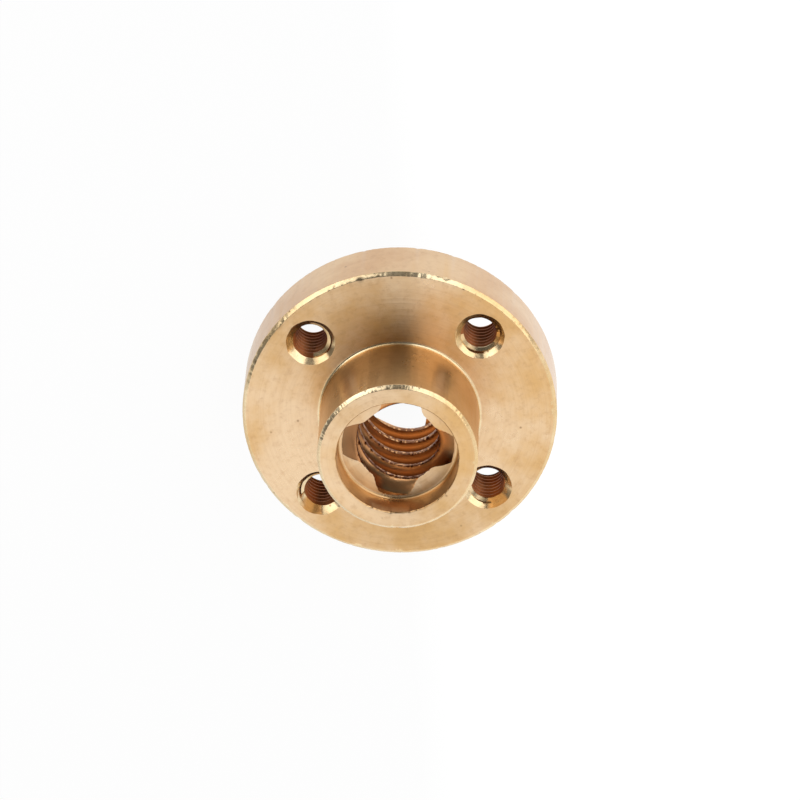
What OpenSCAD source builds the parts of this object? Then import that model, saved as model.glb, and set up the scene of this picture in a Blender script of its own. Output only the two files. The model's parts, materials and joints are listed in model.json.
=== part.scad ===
// Flanged lead screw nut, turned from one piece of brass bar.
// A round mounting flange carries a plain hub. A flat-bottomed counterbore opens the bore at
// the nose, and a multi-start trapezoidal thread runs from its floor to the back face.
// The origin is the centre of the flange's back face, and +Z runs along the bore to the nose.
// All lengths are in millimetres.

/* [Flange] */
// Outside diameter of the flange
flange_d = 23.8; // [23:0.2:30]
// Thickness of the flange
flange_t = 4.8; // [3:0.1:8]
// Chamfer on both rims of the flange
rim_chamfer = 0.27; // [0.1:0.01:0.5]

/* [Hub] */
// Outside diameter of the hub
hub_d = 12; // [11:0.1:13]
// Length of the hub in front of the flange
hub_len = 7.1; // [5:0.1:16]
// Chamfer on the nose of the hub
nose_chamfer = 0.25; // [0.1:0.01:0.5]
// Fillet radius where the hub meets the flange
root_fillet = 0.25; // [0.1:0.01:0.5]

/* [Counterbore] */
// Diameter of the plain counterbore at the nose
counterbore_d = 9.1; // [8.8:0.1:9.8]
// Depth of the counterbore
counterbore_depth = 2.15; // [1:0.05:3]
// Chamfer on its mouth
mouth_chamfer = 0.07; // [0.05:0.01:0.15]

/* [Lead thread] */
// Nominal diameter of the lead screw that runs in the nut
screw_d = 8; // [7:0.1:8]
// Axial distance from one thread ridge to the next
pitch = 2; // [1.5:0.1:2.5]
// Number of starts, which multiplies the pitch into the lead
starts = 4; // [1:1:4]
// Radial room between the screw's crests and the bottom of the nut's grooves
groove_room = 0.2; // [0.1:0.05:0.3]
// Radial room between the screw's core and the tops of the nut's ridges
ridge_room = 0.1; // [0.05:0.05:0.3]
// Axial width of the flat on top of each ridge
ridge_w = 0.6; // [0.5:0.05:0.8]
// Lean of each thread flank from square to the bore, in degrees
flank_angle = 18; // [12:1:20]
// Where the first groove meets the back face, in degrees round the bore
thread_turn = 1.5; // [0:0.5:90]
// Chamfer at the back end of the thread
back_chamfer = 0.2; // [0.1:0.05:0.6]

/* [Fixing holes] */
// Number of tapped holes in the flange
hole_count = 4; // [2:1:6]
// Diameter of the circle that the holes are set on
hole_circle_d = 18; // [17.5:0.1:18.5]
// Wall diameter of each hole, which is the tapping size of an M3 thread
tap_d = 2.5; // [2:0.1:3]
// Mouth diameter of the countersink on the front of each hole
countersink_d = 3.7; // [3.2:0.1:3.9]
// Full angle of that countersink, in degrees
countersink_angle = 90; // [60:1:120]
// Mouth diameter of the smaller countersink on the back of each hole
deburr_d = 3.1; // [3.05:0.05:3.6]

/* [Hidden] */

total_len = flange_t + hub_len;
lead = pitch * starts;
crest_r = (screw_d - pitch) / 2 + ridge_room; // tops of the thread ridges
groove_r = screw_d / 2 + groove_room;      // bottom of the thread grooves
groove_w = pitch - ridge_w;                // groove width at the ridge tops
fillet_steps = 6;
round_fn = 96;

// How far a cutter reaches past the face that it cuts
reach = 0.5;
turn_steps = 40;                           // facets of the groove cutter in one full turn
flank_steps = 3;                           // and across each thread flank

// Turned outline in the radius and height plane, from the back face round to the bore.
function fillet_arc(cx, cy, r, from, to) =
  [for (i = [0:fillet_steps]) let (a = from + (to - from) * i / fillet_steps)
    [cx + r * cos(a), cy + r * sin(a)]];

function turned_outline() = concat(
  [[crest_r + back_chamfer, 0],
   [flange_d / 2 - rim_chamfer, 0],
   [flange_d / 2, rim_chamfer],
   [flange_d / 2, flange_t - rim_chamfer],
   [flange_d / 2 - rim_chamfer, flange_t]],
  fillet_arc(hub_d / 2 + root_fillet, flange_t + root_fillet, root_fillet, 270, 180),
  [[hub_d / 2, total_len - nose_chamfer],
   [hub_d / 2 - nose_chamfer, total_len],
   [counterbore_d / 2 + mouth_chamfer, total_len],
   [counterbore_d / 2, total_len - mouth_chamfer],
   [counterbore_d / 2, total_len - counterbore_depth],
   [crest_r, total_len - counterbore_depth],
   [crest_r, back_chamfer]]);

// Half the angle that one groove takes up at radius r: the flanks close in with depth.
function groove_half_angle(r) =
  (groove_w / 2 - (r - crest_r) * tan(flank_angle)) / lead * 360;

// Section of all the grooves square to the bore, joined by a plain core inside the ridges.
// The flanks run on past the ridge tops to the core.
module groove_section() {
  core_r = crest_r - reach;
  flank = [for (i = [0:flank_steps]) core_r + (groove_r - core_r) * i / flank_steps];
  one_groove = concat(
    [for (i = [0:flank_steps]) [flank[i], -groove_half_angle(flank[i])]],
    [[groove_r, 0]],
    [for (i = [flank_steps:-1:0]) [flank[i], groove_half_angle(flank[i])]]);
  polygon([for (k = [0:starts - 1]) for (p = one_groove)
    [p[0] * cos(p[1] + k * 360 / starts), p[0] * sin(p[1] + k * 360 / starts)]]);
}

// The right-hand grooves, from behind the back face into the open counterbore.
module thread_grooves() {
  top = total_len - counterbore_depth / 2;
  height = top + reach;
  rotate([0, 0, thread_turn - 360 * reach / lead])
    translate([0, 0, -reach])
      linear_extrude(height = height, twist = -360 * height / lead,
                     slices = ceil(turn_steps * height / lead))
        groove_section();
}

// A cone that widens a hole to mouth_d at z = 0 and narrows downwards.
module countersink(mouth_d, bore_d, angle) {
  depth = (mouth_d - bore_d) / 2 / tan(angle / 2);
  over = reach * tan(angle / 2);
  translate([0, 0, -depth])
    cylinder(h = depth + reach, d1 = bore_d, d2 = mouth_d + 2 * over, $fn = round_fn);
}

// One tapped hole through the flange, countersunk on the front and deburred on the back.
module fixing_hole() {
  translate([0, 0, -reach])
    cylinder(h = flange_t + 2 * reach, d = tap_d, $fn = round_fn);
  translate([0, 0, flange_t])
    countersink(countersink_d, tap_d, countersink_angle);
  mirror([0, 0, 1])
    countersink(deburr_d, tap_d, countersink_angle);
}

module fixing_holes() {
  for (k = [0:hole_count - 1])
    rotate([0, 0, (k + 0.5) * 360 / hole_count])
      translate([hole_circle_d / 2, 0, 0])
        fixing_hole();
}

// The whole nut is one turned, drilled and tapped piece.
module flanged_nut() {
  color("burlywood")
    difference() {
      rotate_extrude($fn = round_fn)
        polygon(turned_outline());
      fixing_holes();
      thread_grooves();
    }
}

flanged_nut();
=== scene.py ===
import json
import math
import bmesh
import bpy
from mathutils import Matrix, Vector, noise


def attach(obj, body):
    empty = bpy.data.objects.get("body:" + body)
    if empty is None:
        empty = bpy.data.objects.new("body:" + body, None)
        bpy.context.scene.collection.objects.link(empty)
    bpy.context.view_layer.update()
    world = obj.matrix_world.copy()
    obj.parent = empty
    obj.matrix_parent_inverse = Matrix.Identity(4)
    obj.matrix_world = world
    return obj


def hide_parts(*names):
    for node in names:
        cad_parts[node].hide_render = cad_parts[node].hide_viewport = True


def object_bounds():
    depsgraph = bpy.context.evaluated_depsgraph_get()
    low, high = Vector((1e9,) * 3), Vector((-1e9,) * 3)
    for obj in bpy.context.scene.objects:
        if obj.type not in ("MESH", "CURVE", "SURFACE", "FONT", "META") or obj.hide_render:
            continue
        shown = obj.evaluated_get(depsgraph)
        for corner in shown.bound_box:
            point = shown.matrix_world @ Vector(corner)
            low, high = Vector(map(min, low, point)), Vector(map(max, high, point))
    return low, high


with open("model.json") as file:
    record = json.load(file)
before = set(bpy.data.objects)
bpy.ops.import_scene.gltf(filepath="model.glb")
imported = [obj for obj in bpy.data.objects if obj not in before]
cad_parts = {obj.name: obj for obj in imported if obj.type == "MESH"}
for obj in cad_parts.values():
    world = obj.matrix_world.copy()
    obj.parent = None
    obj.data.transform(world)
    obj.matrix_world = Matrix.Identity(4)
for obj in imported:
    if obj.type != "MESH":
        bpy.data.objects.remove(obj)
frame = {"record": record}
cadLow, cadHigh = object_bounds()

mounts = {mount["name"]: mount for mount in frame["record"]["mounts"]}
mm = 0.001

# the finishes that the nut's faces take, in the order of its material slots
faced, turned, drawn, edgeCut, tapped, reamed, drilled = range(7)

# sizes in millimetres, from the frame where it knows them
nut = {
    "flangeRadius": (cadHigh.x - cadLow.x) / 2 / mm,
    "length": cadHigh.z / mm,
    "flangeThickness": mounts["flange_front"]["pos_m"][2] / mm,
    "hubRadius": mounts["hub_spigot"]["dims"]["r_mm"],
    "rimChamfer": 0.27,
    "noseChamfer": 0.25,
    "rootFillet": 0.25,
    "counterboreRadius": mounts["counterbore"]["dims"]["r_mm"],
    "mouthChamfer": 0.07,
    "footFillet": 0.25,     # where the counterbore's wall meets its floor
    "edgeRound": 0.04,      # deburring takes this much off every turned edge
    "turnSteps": 720,
    "rootSteps": 8,
    "footSteps": 5,
    "guard": 0.15,          # how far from an edge its wear is stopped
    "rimFlat": 0.5,         # how much of the flat faces is swept with the rim,
    "rootFlat": 0.15,       # with the hub's root
    "footFlat": 0.06,       # and with the counterbore's foot
    "flatSlope": 0.96,      # where a normal's Z is over this, the face is flat and was faced,
    "wallSlope": 0.25,      # and where it is under this, the face is a wall
    "mouthBand": 0.1,       # bevels this close to the counterbore's wall were cut with it
    "sharpAngle": 32,       # edges that turn more than this many degrees are shaded sharp
}
nut["counterboreDepth"] = mounts["counterbore"]["dims"]["length_mm"] + nut["mouthChamfer"]

wear = {
    "fineSize": 0.16, "fineShare": 0.02, "fineDepth": 0.05,     # the ragged line that the tool left
    "nickSize": 0.6, "nickShare": 0.27, "nickDepth": 0.17,      # knocks from loose handling
    "nickSeed": 7, "rimSeed": 3.1, "noseSeed": 5.3,
    "spread": 0.13,         # how far a dent reaches from its edge
    "falloff": 0.7,         # how fast it gets shallower on the way
    "across": 0.7,          # how much of a dent goes straight into the face beside the chamfer,
    "along": 0.2,           # how much goes along that face,
    "mouth": 0.6,           # and how much goes both ways at the counterbore's mouth
}


def addLine(bm, points):
    # points are (radius, height); the line stands in the XZ plane
    verts = [bm.verts.new((radius, 0, height)) for radius, height in points]
    edges = [bm.edges.new(pair) for pair in zip(verts, verts[1:])]
    return verts + edges


def arc(centre, radius, start, end, steps):
    angles = [math.radians(start + (end - start) * i / steps) for i in range(steps + 1)]
    return [(centre[0] + radius * math.cos(a), centre[1] + radius * math.sin(a)) for a in angles]


def roundedLine(points, radius, guard, steps=2):
    # each inner corner gets a small arc, and a point further along each long side keeps its wear local
    longSide, sideShare = 3 * guard, 0.45       # an arc takes less than half of a short side
    line = [points[0]]
    for before, corner, after in zip(points, points[1:], points[2:]):
        b, c, a = Vector(before), Vector(corner), Vector(after)
        inward, outward = (b - c).normalized(), (a - c).normalized()
        half = inward.angle(outward) / 2
        reach = min(radius / math.tan(half), (b - c).length * sideShare, (a - c).length * sideShare)
        if (b - c).length > longSide:
            line.append(tuple(c + inward * guard))
        for i in range(steps + 1):
            t = i / steps
            line.append(tuple((c + inward * reach) * (1 - t) ** 2 + c * 2 * t * (1 - t)
                              + (c + outward * reach) * t ** 2))
        if (a - c).length > longSide:
            line.append(tuple(c + outward * guard))
    line.append(points[-1])
    return line


def sweepRound(points, steps, lead=0, sectors=8):
    # one sector is spun and copied round, which is much quicker than one long spin
    bm = bmesh.new()
    bmesh.ops.spin(bm, geom=addLine(bm, points), cent=(0, 0, 0), axis=(0, 0, 1), dvec=(0, 0, lead / steps),
                   angle=math.tau / sectors, steps=steps // sectors)
    sector = bm.verts[:] + bm.edges[:] + bm.faces[:]
    for k in range(1, sectors):
        made = bmesh.ops.duplicate(bm, geom=sector)["geom"]
        bmesh.ops.rotate(bm, verts=[v for v in made if isinstance(v, bmesh.types.BMVert)], cent=(0, 0, 0),
                         matrix=Matrix.Rotation(k * math.tau / sectors, 3, "Z"))
    bmesh.ops.remove_doubles(bm, verts=bm.verts[:], dist=1e-4)
    return bm


def cutAt(bm, height, keepBelow):
    bmesh.ops.bisect_plane(bm, geom=bm.verts[:] + bm.edges[:] + bm.faces[:], dist=1e-6,
                           plane_co=(0, 0, height), plane_no=(0, 0, 1),
                           clear_outer=keepBelow, clear_inner=not keepBelow)


def hollow(point, size, share, depth, seed):
    # how deep the metal is dented at a point: not at all where the noise stays under its share
    return depth * max(0.0, noise.noise(point / size + Vector((seed, 2 * seed, 3 * seed))) - share)


def wearEdges(bm, corners, seed):
    # corners are (radius, height, radial pull, axial pull), each a circle that was a sharp edge
    w = wear
    for vert in bm.verts:
        radius = math.hypot(vert.co.x, vert.co.y)
        for cornerRadius, cornerHeight, pullOut, pullUp in corners:
            away = math.hypot(radius - cornerRadius, vert.co.z - cornerHeight)
            if away > w["spread"]:
                continue
            ragged = hollow(vert.co, w["fineSize"], w["fineShare"], w["fineDepth"], seed)
            nicked = hollow(vert.co, w["nickSize"], w["nickShare"], w["nickDepth"], seed + w["nickSeed"])
            depth = (ragged + nicked) * (1 - away / w["spread"]) ** w["falloff"]
            vert.co += Vector((vert.co.x / radius * pullOut, vert.co.y / radius * pullOut, pullUp)) * depth
            break


def turnedOutside():
    n, across, along = nut, wear["across"], wear["along"]
    radius, length, thickness = n["flangeRadius"], n["length"], n["flangeThickness"]
    hub, rim, nose, root = n["hubRadius"], n["rimChamfer"], n["noseChamfer"], n["rootFillet"]
    bore, mouth, foot = n["counterboreRadius"], n["mouthChamfer"], n["footFillet"]
    floor = length - n["counterboreDepth"]
    rimLine = [(radius - rim - n["rimFlat"], 0), (radius - rim, 0), (radius, rim), (radius, thickness - rim),
               (radius - rim, thickness), (radius - rim - n["rimFlat"], thickness)]
    flange = sweepRound(roundedLine(rimLine, n["edgeRound"], n["guard"]), n["turnSteps"])
    wearEdges(flange, [(radius, thickness - rim, -across, -along), (radius - rim, thickness, -along, -across),
                       (radius, rim, -across, along), (radius - rim, 0, -along, across)], wear["rimSeed"])
    fillet = arc((hub + root, thickness + root), root, 270, 180, n["rootSteps"])
    noseLine = [fillet[-1], (hub, length - nose), (hub - nose, length), (bore + mouth, length),
                (bore, length - mouth), (bore, floor + foot)]
    hubLine = ([(hub + root + n["rootFlat"], thickness)] + fillet
               + roundedLine(noseLine, n["edgeRound"], n["guard"])[1:]
               + arc((bore - foot, floor + foot), foot, 0, -90, n["footSteps"])[1:]
               + [(bore - foot - n["footFlat"], floor)])
    nosePart = sweepRound(hubLine, n["turnSteps"])
    wearEdges(nosePart, [(hub, length - nose, -across, -along), (hub - nose, length, -along, -across),
                         (bore + mouth / 2, length - mouth / 2, wear["mouth"], -wear["mouth"])],
              wear["noseSeed"])
    for part, side in ((flange, drawn), (nosePart, turned)):
        part.normal_update()
        for face in part.faces:
            slope = abs(face.normal.z)
            kind = faced if slope > n["flatSlope"] else side if slope < n["wallSlope"] else edgeCut
            if kind == edgeCut and face.calc_center_median().xy.length < bore + n["mouthBand"]:
                kind = turned
            face.material_index = kind
    return [flange, nosePart]


leadThread = {
    "crestRadius": mounts["lead_thread"]["dims"]["r_mm"],
    "rootRadius": 4.2,
    "pitch": 2.0,
    "starts": 4,
    "crestWidth": 0.6,
    "flankAngle": 18.0,
    "cornerRound": 0.2,     # how far each corner of a ridge is rounded off
    "flankSteps": 4,
    "landShares": (0.3, 0.7),       # where the flat on top of each ridge has points between its corners
    "turn": 4.0,            # where the first groove meets the back face, in degrees round the bore
    "backChamfer": 0.2,
    "turnSteps": 320,
    "burrHeight": 0.06,     # the torn lip that the tap left along both edges of each ridge
    "burrSize": 0.22,
    "burrReach": 0.09,
    "burrDepth": 0.15,      # how far down the flanks it goes
    "cleanEnd": 0.8,        # how far from the back face it was cleaned off
    "breakout": ((0.3, 0.03), (0.12, 0.025)),       # size and depth of tears where grooves meet the floor
    "flatBand": 0.04,       # how far past the flats their torn finish reaches,
    "flatTears": (0.2, 0.1),        # with the size and depth of its ragged border
}


def threadLine(thread, low, high, offset):
    # ridges and grooves from low to high, with the first groove centred at low + offset
    pitch, crest, root = thread["pitch"], thread["crestRadius"], thread["rootRadius"]
    rounding, steps = thread["cornerRound"], thread["flankSteps"]
    depth = root - crest
    run = depth * math.tan(math.radians(thread["flankAngle"]))
    grooveHalf = (pitch - thread["crestWidth"]) / 2
    rootHalf = grooveHalf - run
    first = rounding / depth        # where the flank's straight part starts
    corner = []
    if rounding:
        corner = [(grooveHalf + rounding, crest), (grooveHalf + 0.25 * rounding, crest + 0.2 * rounding)]
    flank = [first + (1 - first) * i / steps for i in range(steps + 1)]
    up = [(rootHalf + run * (1 - t), crest + depth * t) for t in flank]
    shape = [(-height, radius) for height, radius in corner + up]
    shape += [(rootHalf * (2 * i / steps - 1), root) for i in range(1, steps)]
    shape += reversed(corner + up)
    land = thread["crestWidth"] - 2 * rounding
    shape += [(grooveHalf + rounding + land * share, crest) for share in thread["landShares"]]
    return [(radius, low + offset + k * pitch + height)
            for k in range(-1, math.ceil((high - low) / pitch) + 1) for height, radius in shape]


def tearRidges(bm, groovePhase):
    # the tap leaves a ragged lip where each ridge's flat meets its flanks
    t = leadThread
    pitch, lead = t["pitch"], t["pitch"] * t["starts"]
    landStart = (pitch - t["crestWidth"]) / 2 + t["cornerRound"]
    for vert in bm.verts:
        radius = math.hypot(vert.co.x, vert.co.y)
        if radius > t["crestRadius"] + t["burrDepth"]:
            continue
        along = (vert.co.z - math.atan2(vert.co.y, vert.co.x) / math.tau * lead - groovePhase) % pitch
        away = abs(min(along, pitch - along) - landStart)
        if away > t["burrReach"]:
            continue
        lip = noise.noise(vert.co / t["burrSize"]) + 0.5 * noise.noise(vert.co / (t["burrSize"] * 0.4))
        # none at the back end, and less on the -Y side
        kept = min(1, max(0, vert.co.z - t["cleanEnd"])) * (0.6 + 0.4 * vert.co.y / radius)
        lift = t["burrHeight"] * lip * (1 - away / t["burrReach"]) * kept
        vert.co.x -= vert.co.x / radius * lift
        vert.co.y -= vert.co.y / radius * lift
        sway = noise.noise(vert.co / t["burrSize"] + Vector((9, 9, 9)))
        vert.co.z += 0.4 * t["burrHeight"] * kept * sway


def leadThreadBore():
    t = leadThread
    lead = t["pitch"] * t["starts"]
    floor = nut["length"] - nut["counterboreDepth"]
    start = -lead - t["pitch"]
    # a groove's height at angle 0, from where it meets the back face
    groovePhase = -t["turn"] / 360 * lead
    points = threadLine(t, start, floor + t["pitch"], (groovePhase - start) % t["pitch"])
    bm = sweepRound(points, t["turnSteps"], lead, t["starts"])
    tearRidges(bm, groovePhase)
    cutAt(bm, floor, True)
    cutAt(bm, 0, False)
    for vert in bm.verts:
        radius = math.hypot(vert.co.x, vert.co.y)
        wanted = max(radius, t["crestRadius"] + t["backChamfer"] - vert.co.z)
        if abs(vert.co.z - floor) < 1e-5:       # the ragged line where the grooves break into the floor
            ragged = sum(depth * noise.noise(vert.co / size) for size, depth in t["breakout"])
            wanted += ragged * (1 + vert.co.y / radius)
        vert.co.x *= wanted / radius
        vert.co.y *= wanted / radius
    size, depth = t["flatTears"]
    for face in bm.faces:
        middle = face.calc_center_median()
        border = t["crestRadius"] + t["flatBand"] + depth * noise.noise(middle / size)
        face.material_index = reamed if math.hypot(middle.x, middle.y) < border else tapped
    return bm


fixingHole = {
    "circleRadius": mounts["fixing_holes"]["dims"]["pcd_mm"] / 2,
    "count": mounts["fixing_holes"]["dims"]["count"],
    "crestRadius": mounts["fixing_holes"]["dims"]["hole_r_mm"],
    "rootRadius": 1.5,
    "pitch": 0.5,
    "crestWidth": 0.0625,   # an eighth of the pitch, as is usual
    "flankAngle": 30.0,
    "cornerRound": 0,
    "flankSteps": 1,
    "landShares": (),
    "sinkRadius": 1.85,
    "backSinkRadius": 1.55,
    "turnSteps": 72,
    "chatterWaves": 9,      # the countersink tool shook this many times in a turn
    "chatterDepth": 0.007,
    "tearSize": 0.45,       # and tore the edge a little
    "tearDepth": 0.035,
    "cleaned": 0.75,        # how far down the countersink tool rubbed the thread bright
}


def fixingHoleWall(which):
    h = fixingHole
    thickness = nut["flangeThickness"]
    points = threadLine(h, -2 * h["pitch"], thickness + h["pitch"], 0)
    bm = sweepRound(points, h["turnSteps"], h["pitch"], 1)
    cutAt(bm, thickness, True)
    cutAt(bm, 0, False)
    sunk = set()
    shift = Vector((5.0 * which, 0, 0))     # no two holes are torn alike
    for vert in bm.verts:
        radius, angle = math.hypot(vert.co.x, vert.co.y), math.atan2(vert.co.y, vert.co.x)
        chatter = h["chatterDepth"] * math.sin(h["chatterWaves"] * angle + which)
        torn = h["tearDepth"] * noise.noise(vert.co / h["tearSize"] + shift)
        front = h["sinkRadius"] - (thickness - vert.co.z) + chatter + torn
        wanted = max(radius, front, h["backSinkRadius"] - vert.co.z)
        if wanted > radius:
            sunk.add(vert)
        vert.co.x *= wanted / radius
        vert.co.y *= wanted / radius
    # the wall below the rubbed band takes the darker drilled brass, which is painted shade
    for face in bm.faces:
        rubbed = face.calc_center_median().z > thickness - h["cleaned"]
        bright = rubbed or all(vert in sunk for vert in face.verts)
        face.material_index = edgeCut if bright else drilled
    return bm


def joined(parts):
    whole = bmesh.new()
    for part, place in parts:
        mesh = bpy.data.meshes.new("part")
        bmesh.ops.transform(part, matrix=place, verts=part.verts)
        part.to_mesh(mesh)
        part.free()
        whole.from_mesh(mesh)
        bpy.data.meshes.remove(mesh)
    return whole


def buildNut():
    parts = [(part, Matrix.Identity(4)) for part in turnedOutside()]
    print("turned outside made")
    parts.append((leadThreadBore(), Matrix.Identity(4)))
    print("lead thread cut")
    for k in range(fixingHole["count"]):
        turn = Matrix.Rotation((k + 0.5) * math.tau / fixingHole["count"], 4, "Z")
        parts.append((fixingHoleWall(k), turn @ Matrix.Translation((fixingHole["circleRadius"], 0, 0))))
    print("fixing holes tapped")
    bm = joined(parts)
    # the back face, the flange's front and the counterbore's floor are filled between their rims
    for height in (0, nut["flangeThickness"], nut["length"] - nut["counterboreDepth"]):
        rims = [e for e in bm.edges if e.is_boundary and all(abs(v.co.z - height) < 1e-4 for v in e.verts)]
        made = bmesh.ops.triangle_fill(bm, edges=rims, use_beauty=True, normal=(0, 0, 1))["geom"]
        for face in made:
            if isinstance(face, bmesh.types.BMFace):
                face.material_index = faced
    openEdges = [e for e in bm.edges if not e.is_manifold]
    bmesh.ops.recalc_face_normals(bm, faces=bm.faces[:])
    for face in bm.faces:
        face.smooth = True
    for edge in bm.edges:
        if len(edge.link_faces) == 2 and edge.calc_face_angle() > math.radians(nut["sharpAngle"]):
            edge.smooth = False
    bmesh.ops.scale(bm, vec=(mm, mm, mm), verts=bm.verts)
    mesh = bpy.data.meshes.new("flangedNut")
    bm.to_mesh(mesh)
    bm.free()
    mesh.calc_loop_triangles()
    print("nut closed:", len(mesh.loop_triangles), "triangles,", len(openEdges), "open edges")
    piece = bpy.data.objects.new("flangedNut", mesh)
    bpy.context.scene.collection.objects.link(piece)
    # flat faces keep their own shading beside the small rounded edges
    flat = piece.modifiers.new("faceShading", "WEIGHTED_NORMAL")
    flat.mode, flat.weight, flat.keep_sharp = "FACE_AREA", 90, True
    return piece


def linear(hexColour):
    parts = [int(hexColour[i:i + 2], 16) / 255 for i in (1, 3, 5)]
    return [c / 12.92 if c <= 0.04045 else ((c + 0.055) / 1.055) ** 2.4 for c in parts] + [1]


def addNode(tree, kind, settings=None, inputs=None):
    node = tree.nodes.new(kind)
    for name, value in (settings or {}).items():
        setattr(node, name, value)
    for name, value in (inputs or {}).items():
        if isinstance(value, bpy.types.NodeSocket):
            tree.links.new(value, node.inputs[name])
        else:
            node.inputs[name].default_value = value
    return node


def newMaterial(name):
    material = bpy.data.materials.new(name)
    material.use_nodes = True
    material.node_tree.nodes.clear()
    return material, material.node_tree


# settings that many nodes share
smooth = {"interpolation_type": "SMOOTHSTEP"}
times = {"operation": "MULTIPLY"}
larger = {"operation": "MAXIMUM"}
inColour = {"data_type": "RGBA"}

# what all the brass has in common, with lengths in metres
brass = {
    "tanned": "#B98A5C",        # fine stains
    "grimeAndShade": "#76482A",         # dark specks, and the painted shade deep in the bore's grooves and on its +X side
    "markSpacing": 0.00016,     # turning marks are 0.1 mm apart, drawn coarser so that they show
    "markLength": 0.006,
    "patch": 0.0065,            # how wide the patches are that the air has tanned,
    "stain": 0.0006,            # the fine stains
    "speck": 0.0007,            # and the cells that may hold a speck
    "stainTone": 0.32,
    "speckTone": 0.6,
    "goldenTilt": 5,                # the patches grow more golden towards the -X side, by this much a metre
    "ringTurn": 0.25,           # a quarter turn spreads the shine across the turning marks
}
# each surface on the outside, named for how it was made
outsideFinishes = {
    # faced with a broad tool: rings round the bore, satin, with patches that the air has tanned
    "facedBrass": {"pale": "#F4D5AE", "golden": "#E6BA7E", "roughness": 0.3, "anisotropic": 0.8,
                   "markDepth": 0.000012, "ringTone": 0.15, "speckShare": 0.04, "coat": 0},
    # turned along its length: finer rings, browner than the faces
    "turnedBrass": {"pale": "#E3BA86", "golden": "#CEA067", "roughness": 0.3, "anisotropic": 0.8,
                    "markDepth": 0.000006, "ringTone": 0.15, "speckShare": 0.05, "coat": 0},
    # the bar's own drawn skin: paler and a little hazy, so its sides go white at a glancing view
    "drawnBrass": {"pale": "#E5C090", "golden": "#D8AB79", "roughness": 0.32, "anisotropic": 0.5,
                   "markDepth": 0.000003, "ringTone": 0.1, "speckShare": 0.03, "coat": 0.8},
    # chamfers and countersinks: cut last, still bright
    "edgeCutBrass": {"pale": "#F8E3BC", "golden": "#E9C791", "roughness": 0.22, "anisotropic": 0.2,
                     "markDepth": 0.000003, "ringTone": 0.25, "speckShare": 0.3, "coat": 0},
}


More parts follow.
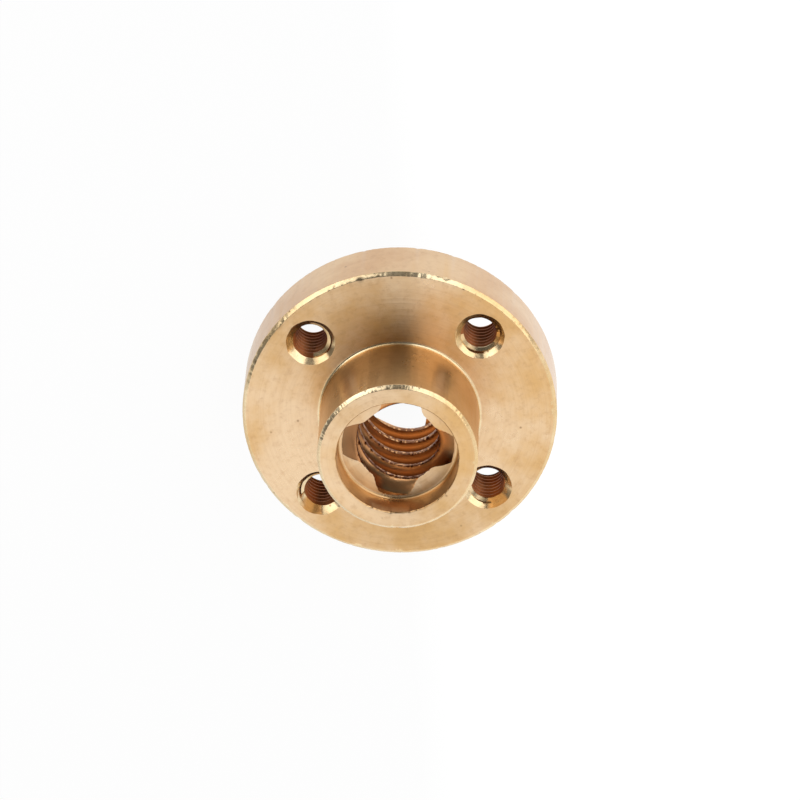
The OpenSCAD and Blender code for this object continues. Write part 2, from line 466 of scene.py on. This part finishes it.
def outsideBrass(name, finish):
    b, f = brass, finish
    material, tree = newMaterial(name)
    place = addNode(tree, "ShaderNodeTexCoord").outputs["Object"]
    flat = addNode(tree, "ShaderNodeVectorMath", times, {0: place, 1: (1, 1, 0)}).outputs[0]
    radius = addNode(tree, "ShaderNodeVectorMath", {"operation": "LENGTH"}, {0: flat}).outputs["Value"]
    # marks run round the bore: close together across, long along their circle
    fine, coarse = 1 / b["markSpacing"], 1 / b["markLength"]
    stretch = addNode(tree, "ShaderNodeVectorMath", times, {0: place, 1: (coarse, coarse, fine)}).outputs[0]
    across = addNode(tree, "ShaderNodeMath", times, {0: radius, 1: fine}).outputs[0]
    marks = addNode(tree, "ShaderNodeTexNoise", {"noise_dimensions": "4D"},
                    {"Vector": stretch, "W": across, "Scale": 1, "Detail": 2, "Roughness": 0.6}).outputs[0]
    patches = addNode(tree, "ShaderNodeTexNoise", None,
                      {"Vector": place, "Scale": 1 / b["patch"], "Detail": 5, "Roughness": 0.6}).outputs[0]
    stains = addNode(tree, "ShaderNodeTexNoise", None,
                     {"Vector": place, "Scale": 1 / b["stain"], "Detail": 3, "Roughness": 0.7}).outputs[0]
    tilt = addNode(tree, "ShaderNodeVectorMath", {"operation": "DOT_PRODUCT"},
                    {0: place, 1: (-b["goldenTilt"], 0, 0)}).outputs["Value"]
    tiltedPatches = addNode(tree, "ShaderNodeMath", {"operation": "ADD"}, {0: patches, 1: tilt}).outputs[0]
    patchShare = addNode(tree, "ShaderNodeMapRange", smooth,
                         {"Value": tiltedPatches, "From Min": 0.35, "From Max": 0.7}).outputs[0]
    colour = addNode(tree, "ShaderNodeMix", inColour,
                     {0: patchShare, 6: linear(f["pale"]), 7: linear(f["golden"])}).outputs[2]
    stainShare = addNode(tree, "ShaderNodeMapRange", smooth,
                         {"Value": stains, "From Min": 0.45, "From Max": 0.8,
                          "To Max": b["stainTone"]}).outputs[0]
    ringShare = addNode(tree, "ShaderNodeMapRange", None,
                        {"Value": marks, "From Min": 0.45, "From Max": 0.75,
                         "To Max": f["ringTone"]}).outputs[0]
    for share in (stainShare, ringShare):
        colour = addNode(tree, "ShaderNodeMix", inColour,
                         {0: share, 6: colour, 7: linear(b["tanned"])}).outputs[2]
    # a dark speck sits in the middle of a few of the cells
    cells = addNode(tree, "ShaderNodeTexVoronoi", None, {"Vector": place, "Scale": 1 / b["speck"]}).outputs
    chance = addNode(tree, "ShaderNodeSeparateColor", None, {0: cells["Color"]}).outputs[0]
    chosen = addNode(tree, "ShaderNodeMath", {"operation": "LESS_THAN"},
                     {0: chance, 1: f["speckShare"]}).outputs[0]
    near = addNode(tree, "ShaderNodeMapRange", smooth,
                   {"Value": cells["Distance"], "From Min": 0.04, "From Max": 0.2,
                    "To Min": b["speckTone"], "To Max": 0}).outputs[0]
    speckled = addNode(tree, "ShaderNodeMath", times, {0: near, 1: chosen}).outputs[0]
    colour = addNode(tree, "ShaderNodeMix", inColour,
                     {0: speckled, 6: colour, 7: linear(b["grimeAndShade"])}).outputs[2]
    # the patches are a little duller too
    rough = addNode(tree, "ShaderNodeMapRange", None,
                    {"Value": patches, "From Min": 0.3, "From Max": 0.7,
                     "To Min": f["roughness"] - 0.05, "To Max": f["roughness"] + 0.07}).outputs[0]
    around = addNode(tree, "ShaderNodeVectorMath", {"operation": "CROSS_PRODUCT"},
                     {0: (0, 0, 1), 1: place}).outputs[0]
    lay = addNode(tree, "ShaderNodeVectorMath", {"operation": "NORMALIZE"}, {0: around}).outputs[0]
    bumped = addNode(tree, "ShaderNodeBump", None,
                     {"Height": marks, "Strength": 1, "Distance": f["markDepth"]}).outputs[0]
    shader = addNode(tree, "ShaderNodeBsdfPrincipled", None, {
        "Base Color": colour, "Metallic": 1, "Roughness": rough, "Anisotropic": f["anisotropic"],
        "Anisotropic Rotation": b["ringTurn"], "Tangent": lay, "Coat Weight": f["coat"],
        "Coat Roughness": 0.25, "Normal": bumped})
    addNode(tree, "ShaderNodeOutputMaterial", None, {"Surface": shader.outputs[0]})
    return material


# where painted shade browns and darkens the bore, in metres: radii from its axis, heights from the back face
boreShadeAndTears = {
    "ridgeShadeFrom": 0.0037, "ridgeShadeTo": 0.0041,     # painted shade covers the ridges; only the bottoms of the grooves are left lighter near the nose
    "sunkFrom": 0.0034, "sunkTo": 0.00375,      # painted shade darkens the depth of the grooves,
    "sunkFade": 0.25,                           # less of it near the nose,
    "sideFrom": 0.0016, "sideTo": 0.0032,       # and the +X side
    "backFrom": 0.0003, "backTo": 0.001,        # painted light: the bore is left lighter near the back face, where the light comes in from behind
    "fade": 0.0016,                             # how far the painted shade's brown takes to fade towards the nose
    "tearSize": 0.00025,
}
# each surface inside a hole, browned and darkened with painted shade
boreFinishes = {
    # the lead thread's grooves: tapped, lighter where they open into the counterbore and at the back face,
    # with painted shade brown inside
    "tappedBrass": {"unshadedColour": "#DDB280", "shadeBrown": "#EEB27A", "roughness": 0.28, "tearDepth": 0.000008,
                    "brownBelow": 0.0078, "patch": 0.0012, "shadeShare": 0.7},
    # the flats on its ridges: the drilled hole that the tap followed, torn, and dark with painted shade
    "reamedBrass": {"unshadedColour": "#DDAA7C", "shadeBrown": "#7C4A2C", "roughness": 0.35, "tearDepth": 0.00001,
                    "brownBelow": 0.0078, "patch": 0.0002, "shadeShare": 0},
    # the walls of the fixing holes: tapped too, and darker with painted shade
    "holeShadeBrass": {"unshadedColour": "#AB774A", "shadeBrown": "#A1603A", "roughness": 0.38, "tearDepth": 0.00001,
                   "brownBelow": 0.005, "patch": 0.0012, "shadeShare": 0},
}


def boreBrass(name, finish):
    d, f = boreShadeAndTears, finish
    material, tree = newMaterial(name)
    place = addNode(tree, "ShaderNodeTexCoord").outputs["Object"]
    axes = addNode(tree, "ShaderNodeSeparateXYZ", None, {0: place}).outputs
    flat = addNode(tree, "ShaderNodeVectorMath", times, {0: place, 1: (1, 1, 0)}).outputs[0]
    radius = addNode(tree, "ShaderNodeVectorMath", {"operation": "LENGTH"}, {0: flat}).outputs["Value"]
    # painted shade browns it in patches between its two ends, all the way up on the ridges
    deep, shallow = f["brownBelow"], f["brownBelow"] + d["fade"]
    inside = addNode(tree, "ShaderNodeMapRange", smooth,
                     {"Value": axes["Z"], "From Min": deep, "From Max": shallow,
                      "To Min": 1, "To Max": 0}).outputs[0]
    ridges = addNode(tree, "ShaderNodeMapRange", smooth,
                     {"Value": radius, "From Min": d["ridgeShadeFrom"], "From Max": d["ridgeShadeTo"],
                      "To Min": 1, "To Max": 0}).outputs[0]
    inside = addNode(tree, "ShaderNodeMath", larger, {0: inside, 1: ridges}).outputs[0]
    patches = addNode(tree, "ShaderNodeTexNoise", None,
                      {"Vector": place, "Scale": 1 / f["patch"], "Detail": 4, "Roughness": 0.65}).outputs[0]
    blotch = addNode(tree, "ShaderNodeMapRange", None,
                     {"Value": patches, "From Min": 0.3, "From Max": 0.6,
                      "To Min": 0.55, "To Max": 1}).outputs[0]
    brown = addNode(tree, "ShaderNodeMath", times, {0: inside, 1: blotch}).outputs[0]
    # painted light: the brown fades out near the back face, where the light comes in from behind
    kept = addNode(tree, "ShaderNodeMapRange", smooth,
                   {"Value": axes["Z"], "From Min": d["backFrom"], "From Max": d["backTo"]}).outputs[0]
    brown = addNode(tree, "ShaderNodeMath", times, {0: brown, 1: kept}).outputs[0]
    colour = addNode(tree, "ShaderNodeMix", inColour,
                     {0: brown, 6: linear(f["unshadedColour"]), 7: linear(f["shadeBrown"])}).outputs[2]
    # painted shade, deep in the grooves and on the +X side, lies over that
    sunk = addNode(tree, "ShaderNodeMapRange", smooth,
                   {"Value": radius, "From Min": d["sunkFrom"], "From Max": d["sunkTo"],
                    "To Max": f["shadeShare"]}).outputs[0]
    low = addNode(tree, "ShaderNodeMapRange", smooth,
                  {"Value": axes["Z"], "From Min": deep, "From Max": shallow,
                   "To Min": 1, "To Max": d["sunkFade"]}).outputs[0]
    sunk = addNode(tree, "ShaderNodeMath", times, {0: sunk, 1: low}).outputs[0]
    oneSide = addNode(tree, "ShaderNodeMapRange", smooth,
                      {"Value": axes["X"], "From Min": d["sideFrom"], "From Max": d["sideTo"],
                       "To Max": f["shadeShare"]}).outputs[0]
    shadeMask = addNode(tree, "ShaderNodeMath", larger, {0: sunk, 1: oneSide}).outputs[0]
    colour = addNode(tree, "ShaderNodeMix", inColour,
                     {0: shadeMask, 6: colour, 7: linear(brass["grimeAndShade"])}).outputs[2]
    torn = addNode(tree, "ShaderNodeTexNoise", None,
                   {"Vector": place, "Scale": 1 / d["tearSize"], "Detail": 3, "Roughness": 0.7}).outputs[0]
    bumped = addNode(tree, "ShaderNodeBump", None,
                     {"Height": torn, "Strength": 1, "Distance": f["tearDepth"]}).outputs[0]
    shader = addNode(tree, "ShaderNodeBsdfPrincipled", None, {
        "Base Color": colour, "Metallic": 1, "Roughness": f["roughness"], "Normal": bumped})
    addNode(tree, "ShaderNodeOutputMaterial", None, {"Surface": shader.outputs[0]})
    return material


sheet = {
    "colour": "#F7F7F7",
    "halfSize": 1.5,            # metres
    "drop": 0.02,               # millimetres under the nut, so that the two flat faces don't share one plane
    "glow": 0.95,               # how much of its own white it shows, over the lit and shaded paper
    "brightSide": -0.02, "brightness": 1.1,     # what the metal mirrors of it is bright at one X
    "dimSide": 0.03, "dimness": 0.82,           # and dimmer at another
}


def makeFloor():
    s = sheet
    bm = bmesh.new()
    bmesh.ops.create_grid(bm, x_segments=1, y_segments=1, size=s["halfSize"])
    bmesh.ops.translate(bm, vec=(0, 0, -s["drop"] * mm), verts=bm.verts)
    mesh = bpy.data.meshes.new("floor")
    bm.to_mesh(mesh)
    bm.free()
    floor = bpy.data.objects.new("floor", mesh)
    bpy.context.scene.collection.objects.link(floor)
    material, tree = newMaterial("whiteSheet")
    path = addNode(tree, "ShaderNodeLightPath").outputs
    seen = path["Is Camera Ray"]
    for ray in ("Is Glossy Ray", "Is Transmission Ray"):
        seen = addNode(tree, "ShaderNodeMath", larger, {0: seen, 1: path[ray]}).outputs[0]
    share = addNode(tree, "ShaderNodeMath", times, {0: seen, 1: s["glow"]}).outputs[0]
    place = addNode(tree, "ShaderNodeTexCoord").outputs["Object"]
    side = addNode(tree, "ShaderNodeSeparateXYZ", None, {0: place}).outputs["X"]
    mirrored = addNode(tree, "ShaderNodeMapRange", smooth,
                       {"Value": side, "From Min": s["brightSide"], "From Max": s["dimSide"],
                        "To Min": s["brightness"], "To Max": s["dimness"]}).outputs[0]
    strength = addNode(tree, "ShaderNodeMath", larger, {0: path["Is Camera Ray"], 1: mirrored}).outputs[0]
    paper = addNode(tree, "ShaderNodeBsdfDiffuse", None, {"Color": linear(s["colour"])}).outputs[0]
    glow = addNode(tree, "ShaderNodeEmission", None,
                   {"Color": linear("#FFFFFF"), "Strength": strength}).outputs[0]
    white = addNode(tree, "ShaderNodeMixShader", None, {0: share, 1: paper, 2: glow}).outputs[0]
    # the sheet is clear from below, so that the nut's back can be looked at
    below = addNode(tree, "ShaderNodeNewGeometry").outputs["Backfacing"]
    clear = addNode(tree, "ShaderNodeBsdfTransparent").outputs[0]
    surface = addNode(tree, "ShaderNodeMixShader", None, {0: below, 1: white, 2: clear}).outputs[0]
    addNode(tree, "ShaderNodeOutputMaterial", None, {"Surface": surface})
    mesh.materials.append(material)


# how the camera looks down at the nose: angles in radians, lengths in metres
view = {
    "lean": 0.4640,         # about 27 degrees off the bore,
    "turn": math.radians(-95.7),        # to this side of it, round from +X, which is up in its view
    "roll": 0.0521,
    "distance": 0.3967,
    "shiftX": -0.0000335, "shiftY": -0.001233,
    "aimShare": 0.4167,     # how far up the nut it is aimed
    "lens": 236.37, "sensor": 36,       # millimetres
}
room = {
    "edgeLean": -0.15,      # a white wall stands on the +Y side, and its edge is a little askew
    "edgeFrom": -0.06, "edgeTo": 0.12,          # and soft
    "dimness": 0.18, "lowUpTo": 0.35,           # how bright the other side is near the floor,
    "darkness": 0.07, "highFrom": 0.8,          # and overhead
    "lampDistance": 0.5,
}
softboxes = {
    # angle to the camera's right, angle up from the floor on the side that the camera leans to,
    # half widths both ways (all in degrees), and brightness
    "rightBox": (38, 34, 29.5, 22, 1.5),
    "rightFill": (22, 71, 8, 11, 0.9),
    "leftBox": (-48, 31, 17, 19, 1.6),
    "leftFill": (-22, 24, 9, 11, 1.2),
}


def makeRoom():
    r = room
    world = bpy.data.worlds.new("studio")
    bpy.context.scene.world = world
    world.use_nodes = True
    tree = world.node_tree
    tree.nodes.clear()
    path = addNode(tree, "ShaderNodeLightPath").outputs
    direction = addNode(tree, "ShaderNodeTexCoord").outputs["Generated"]
    # the camera sees white all round; the metal sees it on one side and mirrors the dim side as streaks
    toWall = addNode(tree, "ShaderNodeVectorMath", {"operation": "DOT_PRODUCT"},
                     {0: direction, 1: (r["edgeLean"], 1, 0)}).outputs["Value"]
    share = addNode(tree, "ShaderNodeMapRange", smooth,
                    {"Value": toWall, "From Min": r["edgeFrom"], "From Max": r["edgeTo"]}).outputs[0]
    up = addNode(tree, "ShaderNodeSeparateXYZ", None, {0: direction}).outputs["Z"]
    dim = addNode(tree, "ShaderNodeMapRange", smooth,
                  {"Value": up, "From Min": r["lowUpTo"], "From Max": r["highFrom"],
                   "To Min": r["dimness"], "To Max": r["darkness"]}).outputs[0]
    strength = addNode(tree, "ShaderNodeMix", {"data_type": "FLOAT"}, {0: share, 2: dim, 3: 1}).outputs[0]
    shade = addNode(tree, "ShaderNodeBackground", None,
                    {"Color": linear("#FFFFFF"), "Strength": strength}).outputs[0]
    white = addNode(tree, "ShaderNodeBackground", None,
                    {"Color": linear("#FFFFFF"), "Strength": 1}).outputs[0]
    seen = addNode(tree, "ShaderNodeMath", larger,
                   {0: path["Is Camera Ray"], 1: path["Is Transmission Ray"]}).outputs[0]
    mixed = addNode(tree, "ShaderNodeMixShader", None, {0: seen, 1: shade, 2: white}).outputs[0]
    addNode(tree, "ShaderNodeOutputWorld", None, {"Surface": mixed})


def makeLamps():
    distance = room["lampDistance"]
    leanSide = Vector((math.cos(view["turn"]), math.sin(view["turn"]), 0))
    right = Vector((math.sin(view["turn"]), -math.cos(view["turn"]), 0))
    for name, (side, up, halfSide, halfUp, brightness) in softboxes.items():
        side, up = math.radians(side), math.radians(up)
        upright = leanSide * math.cos(up) + Vector((0, 0, math.sin(up)))
        away = upright * math.cos(side) + right * math.sin(side)
        across = right * math.cos(side) - upright * math.sin(side)
        light = bpy.data.lights.new(name, "AREA")
        light.shape = "RECTANGLE"
        light.size = 2 * distance * math.tan(math.radians(halfSide))
        light.size_y = 2 * distance * math.tan(math.radians(halfUp))
        light.energy = brightness * math.pi * light.size * light.size_y     # its power for its brightness
        lamp = bpy.data.objects.new(name, light)
        lamp.location = away * distance
        lamp.rotation_mode = "QUATERNION"
        lamp.rotation_quaternion = Matrix((across, away.cross(across), away)).transposed().to_quaternion()
        bpy.context.scene.collection.objects.link(lamp)


def makeCamera():
    v = view
    target = Vector((0, 0, nut["length"] * mm * v["aimShare"]))
    back = Vector((math.sin(v["lean"]) * math.cos(v["turn"]), math.sin(v["lean"]) * math.sin(v["turn"]),
                   math.cos(v["lean"])))
    up = -(Vector((0, 0, 1)) - back * back.z).normalized()
    side = (-back).cross(up)
    sideways = side * math.cos(v["roll"]) + up * math.sin(v["roll"])
    upwards = up * math.cos(v["roll"]) - side * math.sin(v["roll"])
    camera = bpy.data.cameras.new("camera")
    camera.sensor_width = v["sensor"]
    camera.lens = v["lens"]
    camera.clip_start, camera.clip_end = 0.01, 10
    holder = bpy.data.objects.new("camera", camera)
    holder.location = target + back * v["distance"] - sideways * v["shiftX"] - upwards * v["shiftY"]
    holder.rotation_mode = "QUATERNION"
    holder.rotation_quaternion = Matrix((sideways, upwards, back)).transposed().to_quaternion()
    bpy.context.scene.collection.objects.link(holder)
    bpy.context.scene.camera = holder


flangedNut = buildNut()
# in the order of the slots named at the top
for name, finish in outsideFinishes.items():
    flangedNut.data.materials.append(outsideBrass(name, finish))
for name, finish in boreFinishes.items():
    flangedNut.data.materials.append(boreBrass(name, finish))
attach(flangedNut, "root")
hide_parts("flanged_nut")
print("brass finishes made")
makeFloor()
makeRoom()
makeLamps()
makeCamera()
print("floor, light and camera set")
bpy.context.scene.view_settings.view_transform = "Standard"
